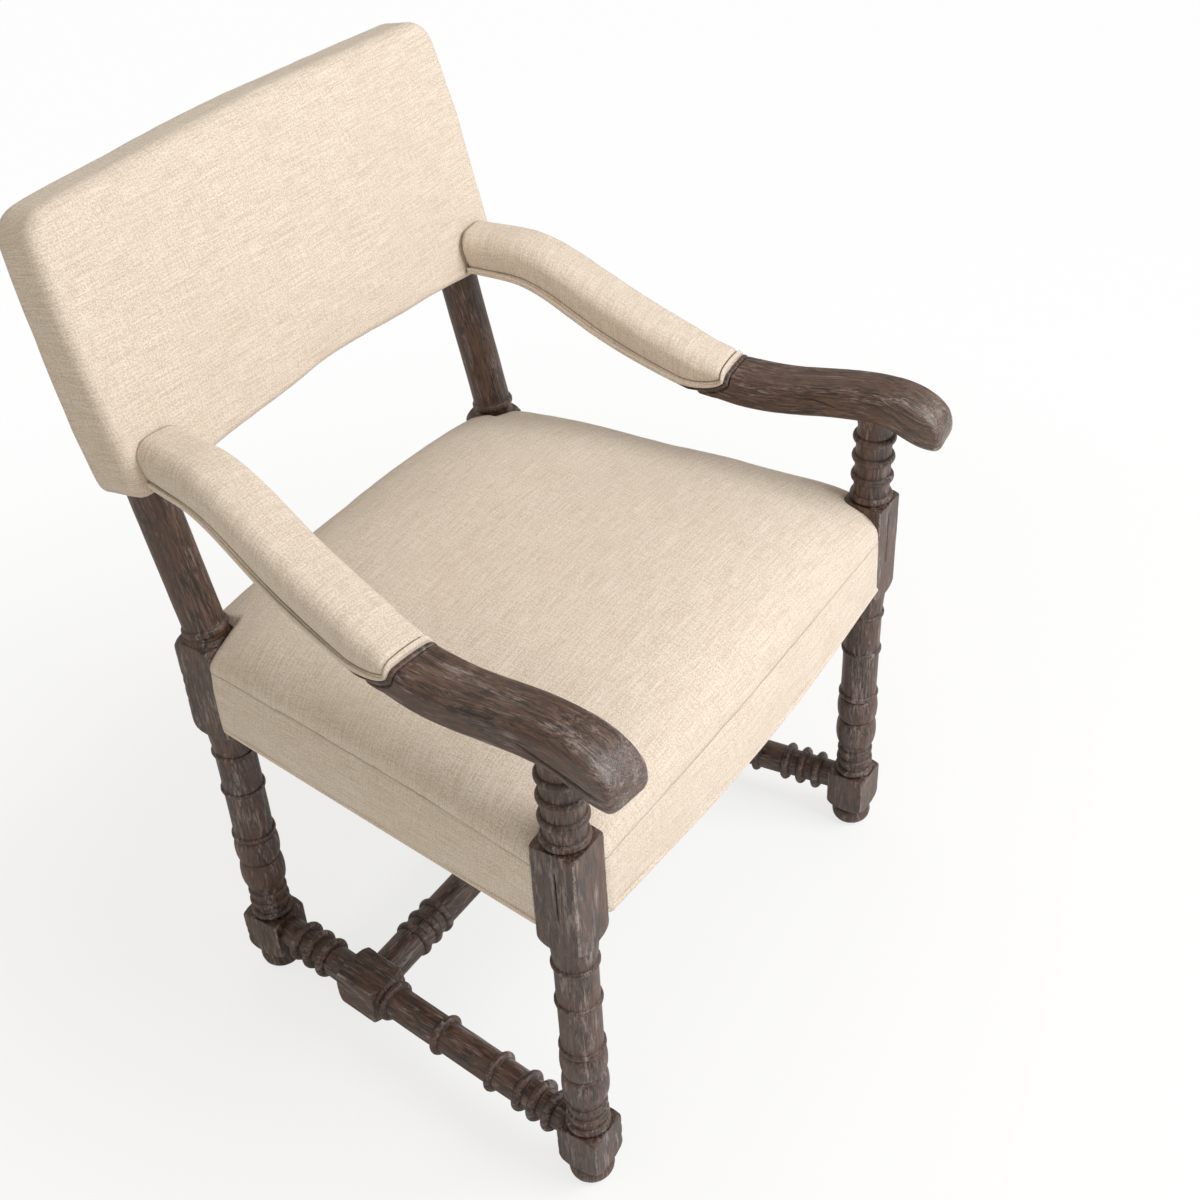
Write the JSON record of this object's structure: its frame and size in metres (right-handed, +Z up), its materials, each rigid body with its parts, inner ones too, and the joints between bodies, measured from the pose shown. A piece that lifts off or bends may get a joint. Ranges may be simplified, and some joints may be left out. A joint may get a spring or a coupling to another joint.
{
  "type": "upholstered open armchair",
  "caption": "Open armchair with turned legs, an H stretcher, swept wooden arms with padded tops, a crowned upholstered seat and a raked padded back.",
  "frame": {"origin": "on the floor, under the middle of the chair's bounding box", "axes": "the chair faces -Y, +Z is up, +X is the sitter's left"},
  "size_m": [0.6686, 0.6684, 0.9496],
  "materials": {
    "wood": "dark distressed open-grain stain with dry-brushed edges",
    "frame_wood": "plain sawn hardwood, hidden",
    "linen": "heathered plain-weave linen",
    "webbing": "woven jute webbing",
    "foam": "open-cell upholstery foam",
    "lining": "black non-woven dust cover",
    "steel": "plain steel",
    "glide": "moulded nylon"
  },
  "bodies": {
    "root": {"front_leg_right": "wood", "front_leg_left": "wood", "rear_post_right": "wood", "rear_post_left": "wood", "side_stretcher_right": "wood", "side_stretcher_left": "wood", "cross_stretcher": "wood", "front_seat_rail": "frame_wood", "rear_seat_rail": "frame_wood", "side_seat_rail_right": "frame_wood", "side_seat_rail_left": "frame_wood", "corner_block_front_right": "frame_wood", "corner_block_front_left": "frame_wood", "corner_block_rear_right": "frame_wood", "corner_block_rear_left": "frame_wood", "corner_block_screws": "steel", "back_top_rail": "frame_wood", "back_bottom_rail": "frame_wood", "arm_right": "wood", "arm_left": "wood", "arm_screws": "steel", "floor_glides": "glide", "seat_webbing": "webbing", "seat_foam": "foam", "seat_cover": "linen", "seat_trim": "linen", "dust_cover": "lining", "back_webbing": "webbing", "back_foam": "foam", "back_cover": "linen", "outside_back": "linen", "arm_pad_foam_right": "foam", "arm_pad_foam_left": "foam", "arm_pad_cover_right": "linen", "arm_pad_cover_left": "linen", "arm_pad_band_right": "linen", "arm_pad_band_left": "linen"}
  },
  "joints": []
}
